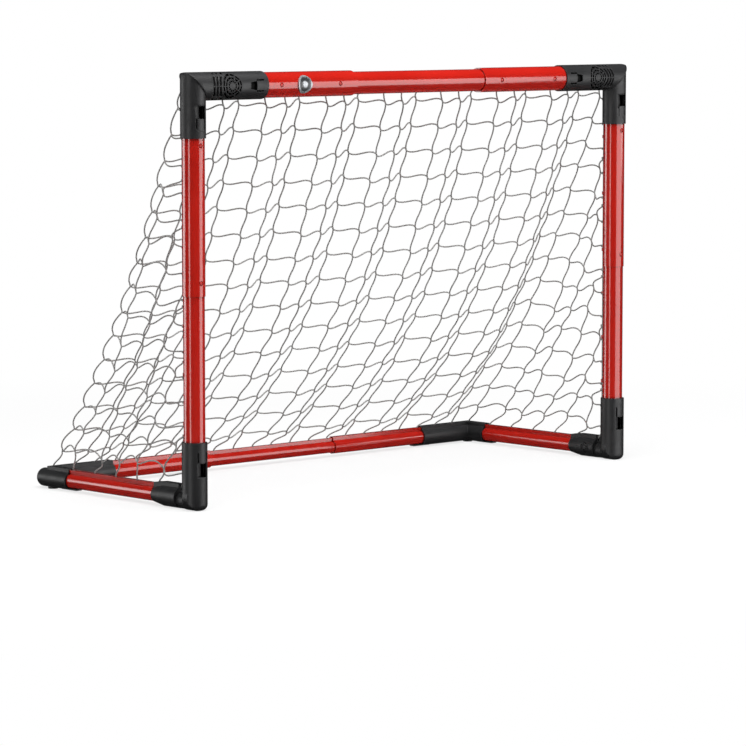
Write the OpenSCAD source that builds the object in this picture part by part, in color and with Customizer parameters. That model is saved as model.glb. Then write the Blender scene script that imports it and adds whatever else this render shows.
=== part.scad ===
// Mini hockey goal: push-fit tube frame, corner connectors, latches, snap buttons and net.
// Millimetres. X = 0 is mid-goal, Y = 0 is half way from front to back, Z = 0 is the ground.
// The mouth faces -Y. left(), right() and middle() place pieces drawn with the post plane at Y = 0.

/* [Goal] */
// Distance between the two post axes
goal_w = 681; // [620:1:900]
// Height of the crossbar axis above the base axis
goal_h = 461; // [400:1:620]
// Distance from the post plane back to the rear bar axis
goal_d = 257; // [200:1:420]
// Height of the base axis above the ground
base_h = 14.2; // [14:0.1:14.4]

/* [Front frame tubes] */
// Radius of the upper post tubes
post_r = 13.05; // [12.95:0.05:13.1]
// Radius of the lower post tubes
post_low_r = 12.25; // [12:0.05:12.4]
// Radius of the two outer crossbar tubes
bar_r = 14.6; // [14.5:0.05:14.65]
// Wall of every front frame tube
wall = 1.4; // [1.35:0.05:1.5]
// Height of the joint between the lower and the upper post tube, above the base axis
post_joint = 227; // [200:1:260]
// Distance from a post axis to the joint in the crossbar
bar_joint = 237; // [225:1:250]

/* [Connectors] */
// Radius of the upright sleeves
sleeve_r = 14.5; // [14.4:0.05:14.6]
// Radius of the crossbar arms
arm_r = 16; // [15.95:0.05:16.1]
// Distance from a post axis to the rim of a crossbar arm
arm_l = 99.2; // [95:0.2:110]
// Distance from the crossbar axis down to the rim of a top corner
top_rim = 57.5; // [56:0.5:64]
// Distance from the base axis up to the rim of a foot
foot_rim = 62.7; // [60:0.1:70]
// Radius of the rounded edge under a foot
foot_edge = 7; // [5:0.5:7]
// Radius of the round heel that crosses the bottom of a foot
heel_r = 15.1; // [15:0.05:15.4]

/* [Base] */
// Radius of the round part of a base tube
rail_r = 8.8; // [8.6:0.1:9]
// Width of the raised rail on a base tube
rail_w = 7; // [6.8:0.1:7.4]
// Height of the rail's top above the base axis
rail_top = 10.7; // [10.5:0.1:10.9]
// Wall of a base tube
rail_wall = 1.3; // [1.2:0.05:1.4]
// Distance from the rear bar axis forward to the rim of a rear corner
side_rim = 35.2; // [34:0.2:44]
// Distance from a side tube axis in to the rim of a rear corner
rear_rim = 86.5; // [78:0.5:90]

/* [Net] */
// Diameter of the border cord
cord_d = 2; // [1.8:0.1:2.1]
// Thickness of a net panel
net_t = 1; // [0.8:0.1:1.4]
// Share of its depth that the back panel would reach in a straight fall from the crossbar
net_fall = 0.51; // [0.4:0.01:0.9]
// How sharply the back panel sweeps back near the ground
net_sweep = 3.5; // [2:0.1:5]

/* [Hidden] */
$fn = 96;

red = "#c9200f";
black = "#26282a";
steel = "#b9bcc0";
string = "#c8c6c2";

half_w = goal_w / 2;
bar_z = base_h + goal_h;
corner_past = 20.5;
front_y = (arm_r - goal_d - corner_past) / 2;

// push fits and cuts
fit = 0.1;
gap = 0.06;
over = 1;

// spigots inside the front frame tubes, and how far tubes reach into the sleeves
post_spigot_r = post_r - wall - fit;
bar_spigot_r = bar_r - wall - fit;
foot_spigot_r = post_low_r - wall - fit;
spigot_past = 30;
bar_spigot_past = 48;
foot_spigot_past = 10;
post_hollow = 38;
arm_hollow = 10;
foot_hollow = 40;
swage_l = 40;

// rib in the hollow behind the window of an upright sleeve, and how far its face is from the axis
core_w = 7.4;
core_face = 6.4;
centre_in = 50;

// rounded outer edge of the top corners
corner_round = 4;

// latches: [rim to root, tab length, window length, slit width, window width, far window width, tab width]
post_latch = [10.2, 11.6, 14.3, 13.4, 13.4, 13.4, 9.9];
foot_latch = [10.8, 12, 16, 13.4, 13.4, 13.4, 9.9];
bar_latch = [6.7, 10.9, 9.3, 14.1, 10.7, 7.6, 10.7];
tab_corner = 1.5;
root_r = 2.15;
nub_r = 1.7;
nub_hole_r = 2.2;
nub_from_root = 6;
nub_depth = 0.9;
root_relief = 0.35;
end_past_nub = 3;

// snap buttons: places along each tube, head, hole, leaf spring
post_button_top = 8;
post_button_mid = 15;
bar_button_out = 119.5;
bar_button_in = 27.5;
button_r = 2.2;
button_hole_r = 2.65;
button_proud = 0.35;
leaf_t = 0.8;
leaf_w = 5;
leaf_l = 17;
leaf_gap = 0.8;

// grille on the crossbar arms
grille_x = 45;
grille_hub = 4.1;
grille_step = 3.7;
grille_groove = 2.2;
grille_rib = 0.8;
grille_rings = 3;
grille_spokes = 12;
grille_depth = 2.2;
vents = 3;
vent_r = 16.2;
vent_w = 2.4;
vent_step = 4.6;
vent_start = 6;
vent_h = 30;
vent_rib = 1.2;
vent_bar = 12;
vent_bar_w = 2.6;

// badge on the left crossbar tube
badge_x = 154.5;
badge_r = 10.4;
badge_t = 0.6;
badge_rim = 1.6;

// base: the rail section sits a little below the base axis
drop = 1.9;
small_r = rail_r - rail_wall - fit;
small_w = rail_w - 2 * (rail_wall + fit);
small_top = rail_top - rail_wall - fit;
socket_r = rail_r + rail_wall + fit;
socket_w = rail_w + 2 * (rail_wall + fit);
socket_top = rail_top + rail_wall + fit;
cord_r = cord_d / 2;
cord_h = 7.9;
groove_r = cord_r + 0.15;
heel_z = heel_r - 0.4;
heel_half = 4;
stub_r = 9.3;
stub_z = 9.4;
seam = 22.5;
plug_r = 8;
plug_end = 42;
coupler_rim = 66.5;
coupler_taper = 17;
coupler_r = 12.3;
coupler_rim_wall = 0.7;
coupler_top = 13.7;
coupler_top_run = 14;
coupler_grille_y = 36;
coupler_grille_r = 6.4;
coupler_grille_hub = 2.2;
coupler_grille_ring = 4;
coupler_grille_depth = 0.8;
tube_in = 16;
end_gap = 2;
rear_joint = 239;
corner_arm_r = socket_r + 0.7;
corner_edge = 5.4;
pad_r = 6;

// tongue latches under the base tubes
tongue_w = 9;
tongue_root = 13;
tongue_past = 14;
tongue_t = 1.6;
tongue_z = 2.6;
tongue_nub = 6;
tongue_nub_h = 0.9;
tongue_room = 6;

// net
cord_y = 17.2;
cord_low = base_h + 17.6;
bend_r = cord_r + 0.08;
cord_slot_y = cord_y + 8;
hook_ring_r = 1.9;
hook_h = 4;
hook_stem = 2.4;
hook_slit = 1.6;
hook_post_low = [20, 55];
hook_post_up = [20, 70];
hook_bar = [15, 50];
hook_middle = 40;
net_start = 0.012;
net_stop = 0.986;
net_steps = 24;

// ---------- placing ----------

module left() {
  translate([-half_w, front_y, 0]) children();
}

module right() {
  mirror([1, 0, 0]) left() children();
}

module middle() {
  translate([0, front_y, 0]) children();
}

// Turns the local +Z axis to +X and leaves the front, -Y, alone
module along_x() {
  rotate([0, 90, 0]) children();
}

// Turns a drawing so that its X and Y become X and Z, drawn out towards -Y
module to_front(depth) {
  rotate([90, 0, 0]) linear_extrude(height = depth) children();
}

// Base section drawn out along Y, from y0 to y1 at the base axis height
module base_run_y(y0, y1) {
  translate([0, y1, base_h]) to_front(y1 - y0) children();
}

// Base section drawn out along X at the rear bar, from x0 to x1
module base_run_x(x0, x1) {
  translate([x0, goal_d, base_h]) rotate([90, 0, 90]) linear_extrude(height = x1 - x0) children();
}

// ---------- shared shapes ----------

// Round tube along +Z from z0 to z1
module pipe(r, bore, z0, z1) {
  translate([0, 0, z0]) difference() {
    cylinder(r = r, h = z1 - z0);
    translate([0, 0, -over]) cylinder(r = bore, h = z1 - z0 + 2 * over);
  }
}

// Radial hole in the front of a tube along Z
module front_hole(r, z) {
  translate([0, 0, z]) rotate([90, 0, 0]) cylinder(r = r, h = 2 * arm_r);
}

// Rectangle with its two far corners rounded, standing on the X axis
module tongue_2d(w, l, c) {
  translate([-w / 2, 0]) square([w, l - c]);
  translate([-w / 2 + c, 0]) square([w - 2 * c, l]);
  for (s = [-1, 1]) translate([s * (w / 2 - c), l - c]) circle(r = c);
}

// ---------- sleeve latches: rim at z = 0, connector towards +Z, tab in front ----------

module latch_opening(latch, bore, r) {
  root = latch[0];
  tip = root + latch[1];
  far = tip + latch[2];
  difference() {
    union() {
      to_front(r + over) polygon([
        [-latch[3] / 2, root], [latch[3] / 2, root], [latch[3] / 2, tip], [latch[4] / 2, tip],
        [latch[5] / 2, far], [-latch[5] / 2, far], [-latch[4] / 2, tip], [-latch[3] / 2, tip]
      ]);
      translate([-latch[6] / 2 - fit, -(bore + r) / 2, root])
        along_x() cylinder(r = root_r + gap, h = latch[6] + 2 * fit);
    }
    translate([0, 0, -over]) cylinder(r = bore - fit, h = far + 2 * over);
  }
}

module latch_tab(latch, bore, r) {
  root = latch[0];
  color(black) union() {
    difference() {
      intersection() {
        pipe(r, bore, root - root_r - over, root + latch[1]);
        union() {
          translate([0, 0, root]) to_front(r + over) tongue_2d(latch[6], latch[1], tab_corner);
          translate([-latch[6] / 2, -(bore + r) / 2, root])
            along_x() cylinder(r = root_r, h = latch[6]);
        }
      }
      translate([0, 0, root - root_r - over]) cylinder(r = bore + root_relief, h = root_r + over);
    }
    translate([0, 0, root + nub_from_root]) rotate([90, 0, 0])
      translate([0, 0, bore - fit - nub_depth]) cylinder(r = nub_r, h = nub_depth + fit + wall / 2);
  }
}

// Sleeve socket cut: ring-shaped bore around a hollow spigot, and the latch opening
module socket_cut(latch, bore, r, spigot_r) {
  far = latch[0] + latch[1] + latch[2] + over;
  pipe(bore, spigot_r, -over, far);
  latch_opening(latch, bore, r);
}

// Window beyond the tab of an upright sleeve, cut on into the hollow as far as its rib
module window_cut(latch, r) {
  translate([-latch[5] / 2, -r - over, latch[0] + latch[1]])
    cube([latch[5], r + over - core_face, latch[2]]);
}

// Hollow spigot that reaches past the rim into the tube
module spigot(r, past) {
  translate([0, 0, -past]) cylinder(r = r, h = past + over);
}

// Hollow along +Z of radius r from z0 to z1, which leaves a rib standing behind the latch's window
module cored_hollow(latch, r, z0, z1) {
  tip = latch[0] + latch[1];
  difference() {
    translate([0, 0, z0]) cylinder(r = r, h = z1 - z0);
    translate([-core_w / 2, -core_face, tip]) cube([core_w, core_face + 2 * r, z1]);
  }
}

// ---------- snap buttons: button at z = 0, spring bend towards +Z, front is -Y ----------

// Button head on the moving leg of a leaf spring, in a tube of radius r around a cavity of radius cave
module snap_button(r, cave) {
  rho = cave - leaf_gap;
  color(steel) union() {
    intersection() {
      rotate([90, 0, 0]) translate([0, 0, rho - leaf_t / 2]) cylinder(r = button_r, h = r);
      translate([0, 2 * button_r - r - button_proud, 0]) sphere(r = 2 * button_r);
    }
    translate([-leaf_w / 2, -rho, -button_r - over]) cube([leaf_w, leaf_t, leaf_l + button_r + over]);
    translate([-leaf_w / 2, -rho + leaf_t / 2, leaf_l]) along_x() cylinder(r = leaf_t / 2, h = leaf_w);
  }
}

// Bend and fixed leg of the same leaf spring
module snap_clip(cave) {
  rho = cave - leaf_gap;
  color(steel) union() {
    translate([-leaf_w / 2, 0, leaf_l + leaf_t / 2 + fit]) along_x() difference() {
      cylinder(r = rho, h = leaf_w);
      translate([0, 0, -over]) cylinder(r = rho - leaf_t, h = leaf_w + 2 * over);
      translate([0, -2 * rho, -over]) cube([2 * rho, 4 * rho, leaf_w + 2 * over]);
    }
    translate([-leaf_w / 2, rho - leaf_t, over]) cube([leaf_w, leaf_t, leaf_l]);
  }
}

post_cave = post_spigot_r - wall;
bar_cave = bar_spigot_r - wall;
post_rim_z = bar_z - top_rim;
post_joint_z = base_h + post_joint;
foot_rim_z = base_h + foot_rim;

// Places of the four snap buttons on the left half, in the left frame
module at_post_top() {
  translate([0, 0, post_rim_z - post_button_top]) children();
}

module at_post_middle() {
  translate([0, 0, post_joint_z + post_button_mid]) children();
}

module at_bar_outer() {
  translate([bar_button_out, 0, bar_z]) rotate([0, -90, 0]) children();
}

module at_bar_inner() {
  translate([bar_joint - bar_button_in, 0, bar_z]) along_x() children();
}

// Local frames of the sleeves: rim at the origin, connector towards +Z
module at_post_rim() {
  translate([0, 0, post_rim_z]) children();
}

module at_arm_rim() {
  translate([arm_l, 0, bar_z]) rotate([0, -90, 0]) children();
}

module at_foot_rim() {
  translate([0, 0, foot_rim_z]) rotate([0, 180, 0]) children();
}

// ---------- top corner connectors ----------

// Round grille of ring cells and, beside it, three curved slots, in the plane of the front face
module grille_2d() {
  reach = vent_r + vents * vent_step;
  difference() {
    for (k = [0 : grille_rings - 1]) difference() {
      circle(r = grille_hub + k * grille_step + grille_groove);
      circle(r = grille_hub + k * grille_step);
    }
    for (a = [0 : grille_spokes / 2 - 1]) rotate(a * 360 / grille_spokes)
      square([2 * reach, grille_rib], center = true);
  }
  difference() {
    for (k = [0 : vents - 1]) intersection() {
      difference() {
        circle(r = vent_r + k * vent_step + vent_w);
        circle(r = vent_r + k * vent_step);
      }
      translate([-reach, -vent_h / 2]) square([reach - vent_start, vent_h]);
    }
    translate([-reach, -vent_rib / 2]) square([reach, vent_rib]);
    for (s = [-1, 1]) translate([-reach, s * vent_bar - vent_bar_w / 2]) square([reach, vent_bar_w]);
  }
}

// The slanting line on which the sleeve and the arm of a top corner meet, from outside to inside
mitre = [[-2 * sleeve_r, 2 * arm_r], [2 * sleeve_r, -2 * arm_r]];

module top_corner_body() {
  color(black) difference() {
    union() {
      // upright sleeve, below the mitre
      intersection() {
        translate([0, 0, post_rim_z]) cylinder(r = sleeve_r, h = top_rim + arm_r);
        corner_slab() polygon([mitre[0], mitre[1], [mitre[1][0], -2 * top_rim],
          [mitre[0][0], -2 * top_rim]]);
      }
      // crossbar arm, beside the mitre
      intersection() {
        translate([-sleeve_r, 0, bar_z]) along_x() cylinder(r = arm_r, h = arm_l + sleeve_r);
        corner_slab() polygon([mitre[0], mitre[1], [arm_l + over, mitre[1][1]],
          [arm_l + over, mitre[0][1]]]);
      }
      at_post_rim() spigot(post_spigot_r, spigot_past);
      at_arm_rim() spigot(bar_spigot_r, bar_spigot_past);
    }
    // rounded outer edge of the corner
    translate([-sleeve_r, 0, bar_z + arm_r]) difference() {
      translate([-over, -2 * arm_r, -corner_round])
        cube([corner_round + over, 4 * arm_r, corner_round + over]);
      translate([corner_round, -3 * arm_r, -corner_round]) rotate([-90, 0, 0])
        cylinder(r = corner_round, h = 6 * arm_r);
    }
    at_post_rim() socket_cut(post_latch, post_r + fit, sleeve_r, post_spigot_r);
    at_post_rim() window_cut(post_latch, sleeve_r);
    at_arm_rim() socket_cut(bar_latch, bar_r + fit, arm_r, bar_spigot_r);
    // hollow spigots, with the button holes
    at_post_rim() cored_hollow(post_latch, post_cave, -spigot_past - over, post_hollow);
    translate([arm_l - arm_hollow, 0, bar_z]) along_x()
      cylinder(r = bar_cave, h = arm_hollow + bar_spigot_past + over);
    at_post_top() front_hole(button_hole_r, 0);
    at_bar_outer() front_hole(button_hole_r, 0);
    // grille recesses, as deep all round the arm
    translate([grille_x, 0, bar_z]) intersection() {
      to_front(2 * arm_r) grille_2d();
      translate([-grille_x, 0, 0]) along_x() pipe(arm_r + over, arm_r - grille_depth, 0, arm_l);
    }
  }
}

// Slab in the plane of the front frame, around the corner
module corner_slab() {
  translate([0, 2 * arm_r, bar_z]) to_front(4 * arm_r) children();
}

module top_left_corner() left() top_corner_body();
module top_right_corner() right() top_corner_body();

module top_left_post_latch() left() at_post_rim() latch_tab(post_latch, post_r + fit, sleeve_r);
module top_right_post_latch() right() at_post_rim() latch_tab(post_latch, post_r + fit, sleeve_r);
module top_left_bar_latch() left() at_arm_rim() latch_tab(bar_latch, bar_r + fit, arm_r);
module top_right_bar_latch() right() at_arm_rim() latch_tab(bar_latch, bar_r + fit, arm_r);

// ---------- crossbar and post tubes ----------

function latch_nub(latch) = latch[0] + nub_from_root;

module bar_outer_tube() {
  color(red) translate([0, 0, bar_z]) along_x() difference() {
    pipe(bar_r, bar_r - wall, arm_l - latch_nub(bar_latch) - end_past_nub, bar_joint);
    front_hole(nub_hole_r, arm_l - latch_nub(bar_latch));
    front_hole(button_hole_r, bar_button_out);
    front_hole(button_hole_r, bar_joint - bar_button_in);
  }
}

module bar_centre_tube() {
  l = half_w - bar_joint + centre_in;
  color(red) middle() translate([0, 0, bar_z]) along_x() difference() {
    pipe(bar_spigot_r, bar_cave, -l, l);
    for (s = [-1, 1]) front_hole(button_hole_r, s * (half_w - bar_joint + bar_button_in));
  }
}

module post_upper_tube() {
  top = post_rim_z + latch_nub(post_latch) + end_past_nub;
  color(red) difference() {
    pipe(post_r, post_r - wall, post_joint_z, top);
    front_hole(nub_hole_r, post_rim_z + latch_nub(post_latch));
    front_hole(button_hole_r, post_rim_z - post_button_top);
    front_hole(button_hole_r, post_joint_z + post_button_mid);
  }
}

// Lower post tube, with its top end drawn down to slide into the upper tube
module post_lower_tube() {
  nub = foot_rim_z - latch_nub(foot_latch);
  shoulder = post_joint_z - fit;
  color(red) difference() {
    union() {
      translate([0, 0, nub - end_past_nub]) cylinder(r = post_low_r, h = shoulder - nub + end_past_nub);
      translate([0, 0, shoulder - over]) cylinder(r = post_spigot_r, h = swage_l + over);
    }
    translate([0, 0, nub - end_past_nub - over])
      cylinder(r = post_low_r - wall, h = shoulder - nub + end_past_nub - 2 * over);
    translate([0, 0, shoulder - 4 * over]) cylinder(r = post_cave, h = swage_l + 6 * over);
    front_hole(nub_hole_r, nub);
    front_hole(button_hole_r, post_joint_z + post_button_mid);
  }
}

module crossbar_left_tube() left() bar_outer_tube();
module crossbar_right_tube() right() bar_outer_tube();
module crossbar_centre_tube() bar_centre_tube();
module left_post_upper_tube() left() post_upper_tube();
module right_post_upper_tube() right() post_upper_tube();
module left_post_lower_tube() left() post_lower_tube();
module right_post_lower_tube() right() post_lower_tube();

module left_post_top_button() left() at_post_top() snap_button(post_r, post_cave);
module right_post_top_button() right() at_post_top() snap_button(post_r, post_cave);
module left_post_middle_button() left() at_post_middle() snap_button(post_r, post_cave);
module right_post_middle_button() right() at_post_middle() snap_button(post_r, post_cave);
module crossbar_left_outer_button() left() at_bar_outer() snap_button(bar_r, bar_cave);
module crossbar_right_outer_button() right() at_bar_outer() snap_button(bar_r, bar_cave);
module crossbar_left_inner_button() left() at_bar_inner() snap_button(bar_r, bar_cave);
module crossbar_right_inner_button() right() at_bar_inner() snap_button(bar_r, bar_cave);

module half_clips() {
  at_post_top() snap_clip(post_cave);
  at_post_middle() snap_clip(post_cave);
  at_bar_outer() snap_clip(bar_cave);
  at_bar_inner() snap_clip(bar_cave);
}

module snap_button_clips() {
  left() half_clips();
  right() half_clips();
}

// Plain round badge wrapped on the front of the left crossbar tube, with a raised rim and a boss
module crossbar_badge() left() color(steel) translate([badge_x, 0, bar_z]) union() {
  badge_disc(0, badge_r, badge_t);
  badge_disc(badge_r - badge_rim, badge_r, 2 * badge_t);
  badge_disc(0, badge_r / 3, 2 * badge_t);
}

module badge_disc(r0, r1, t) {
  intersection() {
    to_front(2 * arm_r) difference() {
      circle(r = r1);
      circle(r = r0);
    }
    along_x() pipe(bar_r + gap + t, bar_r + gap, -badge_r - over, badge_r + over);
  }
}

// ---------- feet ----------

// Round heel that reaches half its length each way along Y
module heel(half) {
  translate([0, half, heel_z]) rotate([90, 0, 0]) cylinder(r = heel_r, h = 2 * half);
}

module foot_body() {
  color(black) difference() {
    union() {
      // upright sleeve with a rounded bottom edge, cut round underneath by the heel
      intersection() {
        rotate_extrude() {
          translate([0, foot_edge]) square([sleeve_r, foot_rim_z - foot_edge]);
          square([sleeve_r - foot_edge, foot_rim_z]);
          translate([sleeve_r - foot_edge, foot_edge]) circle(r = foot_edge);
        }
        union() {
          heel(2 * sleeve_r);
          translate([-2 * sleeve_r, -2 * sleeve_r, heel_z])
            cube([4 * sleeve_r, 4 * sleeve_r, foot_rim_z]);
        }
      }
      intersection() {
        heel(heel_half);
        translate([-2 * sleeve_r, -2 * sleeve_r, 0]) cube([4 * sleeve_r, 4 * sleeve_r, foot_rim_z]);
      }
      at_foot_rim() spigot(foot_spigot_r, foot_spigot_past);
      // stub along Y and a plug that slides into the coupler
      translate([0, 0, stub_z]) rotate([-90, 0, 0]) {
        cylinder(r = stub_r, h = seam);
        cylinder(r = plug_r, h = plug_end);
      }
    }
    at_foot_rim() socket_cut(foot_latch, post_low_r + fit, sleeve_r, foot_spigot_r);
    at_foot_rim() window_cut(foot_latch, sleeve_r);
    at_foot_rim() cored_hollow(foot_latch, foot_spigot_r - wall, -foot_spigot_past - over, foot_hollow);
  }
}

module front_left_foot() left() foot_body();
module front_right_foot() right() foot_body();
module front_left_foot_latch() left() at_foot_rim() latch_tab(foot_latch, post_low_r + fit, sleeve_r);
module front_right_foot_latch() right() at_foot_rim() latch_tab(foot_latch, post_low_r + fit, sleeve_r);

// ---------- base sections: origin on the base axis, rail on top ----------

module section(r, w, top) {
  translate([0, -drop]) circle(r = r);
  translate([-w / 2, -drop]) square([w, top + drop]);
}

// Slot for the border cord, open at the top of the rail
module groove() {
  translate([0, cord_h]) circle(r = groove_r);
  translate([-groove_r, cord_h]) square([2 * groove_r, 2 * socket_top]);
}

module large_section() {
  difference() {
    section(rail_r, rail_w, rail_top);
    section(rail_r - rail_wall, rail_w - 2 * rail_wall, rail_top - rail_wall);
    groove();
  }
}

module small_section() {
  difference() {
    section(small_r, small_w, small_top);
    translate([0, -drop]) circle(r = small_r - rail_wall);
    groove();
  }
}

module bore_section() {
  section(rail_r + fit, rail_w + 2 * fit, rail_top + fit);
}

// Cut for a tongue latch: rim at y = 0, connector towards +Y, on the ground side
module tongue_cut() {
  translate([-tongue_w / 2 - over, -over, -over])
    cube([tongue_w + 2 * over, tongue_root + over, tongue_room]);
  translate([-tongue_w / 2 - fit, tongue_root, tongue_z])
    along_x() cylinder(r = tongue_t / 2 + gap, h = tongue_w + 2 * fit);
}

module tongue_latch() {
  z0 = tongue_z - tongue_t / 2;
  color(black) union() {
    translate([0, tongue_root, z0]) rotate([0, 0, 180]) linear_extrude(height = tongue_t)
      tongue_2d(tongue_w, tongue_root + tongue_past, tab_corner);
    translate([-tongue_w / 2, tongue_root, tongue_z]) along_x() cylinder(r = tongue_t / 2, h = tongue_w);
    translate([0, -tongue_nub, tongue_z]) cylinder(r = nub_r, h = tongue_t / 2 + tongue_nub_h);
  }
}

// Local frames of the base sockets: rim at the origin, connector towards +Y
module at_side_rim() {
  translate([0, goal_d - side_rim, 0]) children();
}

module at_rear_rim() {
  translate([rear_rim, goal_d, 0]) rotate([0, 0, 90]) children();
}

// ---------- base couplers ----------

module coupler_body() {
  far = coupler_rim - tube_in - end_gap;
  color(black) difference() {
    union() {
      translate([0, seam + fit, base_h - drop]) rotate([-90, 0, 0]) {
        cylinder(r = coupler_r, h = coupler_rim - coupler_taper - seam - fit);
        translate([0, 0, coupler_rim - coupler_taper - seam - fit])
          cylinder(r1 = coupler_r, r2 = rail_r + coupler_rim_wall, h = coupler_taper);
      }
      // ridge over the rail, which slopes down to the rim
      translate([0, 0, base_h]) yz_run(-socket_w / 2, socket_w / 2) polygon([
        [seam + fit, 0], [seam + fit, coupler_top], [coupler_rim - coupler_top_run, coupler_top],
        [coupler_rim, socket_top], [coupler_rim, 0]
      ]);
    }
    translate([0, 0, stub_z]) rotate([-90, 0, 0]) cylinder(r = plug_r + fit, h = plug_end + fit);
    base_run_y(far, coupler_rim + over) difference() {
      bore_section();
      small_section();
    }
    base_run_y(seam, coupler_rim + over) groove();
    // small ring grille on the inner side
    translate([0, coupler_grille_y, base_h - drop]) intersection() {
      rotate([0, 90, 0]) linear_extrude(height = 2 * coupler_r) difference() {
        circle(r = coupler_grille_r);
        circle(r = coupler_grille_hub);
        difference() {
          circle(r = coupler_grille_ring + grille_rib);
          circle(r = coupler_grille_ring);
        }
        for (a = [0 : 3]) rotate(a * 45) square([3 * coupler_grille_r, grille_rib], center = true);
      }
      rotate([90, 0, 0])
        pipe(coupler_r + over, coupler_r - coupler_grille_depth, -coupler_r, coupler_r);
    }
  }
}

module left_base_coupler() left() coupler_body();
module right_base_coupler() right() coupler_body();

// ---------- base tubes ----------

module side_tube() {
  color(red) difference() {
    base_run_y(coupler_rim - tube_in, goal_d - side_rim + tube_in) large_section();
    at_side_rim() tongue_hole();
  }
}

module tongue_hole() {
  translate([0, -tongue_nub, 0]) cylinder(r = nub_hole_r, h = base_h / 2);
}

module rear_outer_tube() {
  color(red) difference() {
    base_run_x(rear_rim - tube_in, rear_joint) large_section();
    at_rear_rim() tongue_hole();
  }
}

module rear_centre_tube() {
  l = half_w - rear_joint + centre_in;
  color(red) middle() base_run_x(-l, l) small_section();
}

module left_side_tube() left() side_tube();
module right_side_tube() right() side_tube();
module rear_left_tube() left() rear_outer_tube();
module rear_right_tube() right() rear_outer_tube();

// ---------- rear corners ----------

module rear_corner_body() {
  y0 = goal_d - side_rim;
  color(black) difference() {
    union() {
      // side arm, closed behind the rear bar with a rounded end
      translate([0, y0, base_h - drop]) rotate([-90, 0, 0]) rotate_extrude() {
        square([corner_arm_r, side_rim + corner_past - corner_edge]);
        square([corner_arm_r - corner_edge, side_rim + corner_past]);
        translate([corner_arm_r - corner_edge, side_rim + corner_past - corner_edge])
          circle(r = corner_edge);
      }
      base_run_x(0, rear_rim) section(corner_arm_r, socket_w, socket_top);
      base_run_y(y0, goal_d + socket_w / 2) translate([-socket_w / 2, 0]) square([socket_w, socket_top]);
      translate([-socket_w / 2, goal_d - socket_w / 2, base_h]) cube([socket_w, socket_w, socket_top]);
      // pad under the corner, on the ground
      translate([0, goal_d, 0]) cylinder(r = pad_r, h = base_h - drop);
    }
    base_run_y(y0 - over, y0 + tube_in + end_gap) difference() {
      bore_section();
      small_section();
    }
    base_run_x(rear_rim - tube_in - end_gap, rear_rim + over) difference() {
      bore_section();
      small_section();
    }
    base_run_y(y0 - over, goal_d + groove_r) groove();
    base_run_x(-groove_r, rear_rim + over) groove();
    at_side_rim() tongue_cut();
    at_rear_rim() tongue_cut();
  }
}

module rear_left_corner() left() rear_corner_body();
module rear_right_corner() right() rear_corner_body();
module rear_left_side_latch() left() at_side_rim() tongue_latch();
module rear_right_side_latch() right() at_side_rim() tongue_latch();
module rear_left_bar_latch() left() at_rear_rim() tongue_latch();
module rear_right_bar_latch() right() at_rear_rim() tongue_latch();

// ---------- net ----------

cord_z = base_h + cord_h;
net_d = goal_d - cord_y;
net_drop = bar_z - cord_z;

// Height and depth of the back panel's middle line, s of the way from the crossbar cord to the rear cord
function net_line(s) = [
  cord_y + net_d * (net_fall * s + (1 - net_fall) * pow(s, net_sweep)),
  bar_z - net_drop * s
];

// A point n outside the middle line of the back panel
function net_skin(s, n) =
  let (run = net_line(s + 0.01) - net_line(s - 0.01))
  net_line(s) + n * [-run[1], run[0]] / norm(run);

// How far along the panel the k-th point is
function net_share(k) = net_start + (net_stop - net_start) * k / net_steps;

// Drawing in the Y-Z plane drawn out along X, from x0 to x1
module yz_run(x0, x1) {
  translate([x0, 0, 0]) rotate([90, 0, 90]) linear_extrude(height = x1 - x0) children();
}

// Sheet that sags between the crossbar and the rear bar
module net_back() {
  w = half_w - net_t - fit;
  color(string) middle() yz_run(-w, w) polygon(concat(
    [for (k = [0 : net_steps]) net_skin(net_share(k), -net_t / 2)],
    [for (k = [net_steps : -1 : 0]) net_skin(net_share(k), net_t / 2)]
  ));
}

// Flat side from the post to the straight fold between the side and the back
module side_net() {
  y0 = cord_y + hook_ring_r + over;
  z0 = base_h + socket_top + over;
  color(string) yz_run(-net_t / 2, net_t / 2) polygon([
    [y0, cord_low + 2 * over], [cord_slot_y + 2 * over, z0],
    [cord_y + net_d * (bar_z - z0) / net_drop, z0], [y0, bar_z - net_drop * (y0 - cord_y) / net_d]
  ]);
}

module net_left_side() left() side_net();
module net_right_side() right() side_net();

// A straight run of round cord from a to b
module cord(a, b) {
  d = b - a;
  l = norm(d);
  translate(a) rotate([0, acos(d[2] / l), atan2(d[1], d[0])]) cylinder(r = cord_r, h = l);
}

// Cord round the mouth, through the base slots and across the back, with a round bend at each corner
module net_border_cord() {
  low = [0, cord_y, cord_low];
  slot = [0, cord_slot_y, cord_z];
  top = [0, cord_y, bar_z];
  back = [0, goal_d, cord_z];
  color(string) middle() union() {
    for (s = [-1, 1]) {
      post = [s * half_w, 0, 0];
      cord(post + low, post + top);
      cord(post + low, post + slot);
      cord(post + slot, post + back);
      for (p = [low, slot, top, back]) translate(post + p) sphere(r = bend_r);
    }
    cord([-half_w, cord_y, bar_z], [half_w, cord_y, bar_z]);
    cord([-half_w, goal_d, cord_z], [half_w, goal_d, cord_z]);
  }
}

// Snap-in hook on the back of a tube of radius r along Z, round the border cord
module net_hook(r) {
  translate([0, 0, -hook_h / 2]) difference() {
    union() {
      translate([0, cord_y, 0]) cylinder(r = hook_ring_r, h = hook_h);
      translate([-hook_stem / 2, r - wall / 2, 0]) cube([hook_stem, cord_y - r, hook_h]);
    }
    translate([0, cord_y, -over]) cylinder(r = groove_r, h = hook_h + 2 * over);
    translate([-hook_slit / 2, cord_y, -over]) cube([hook_slit, 2 * hook_ring_r, hook_h + 2 * over]);
  }
}

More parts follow.
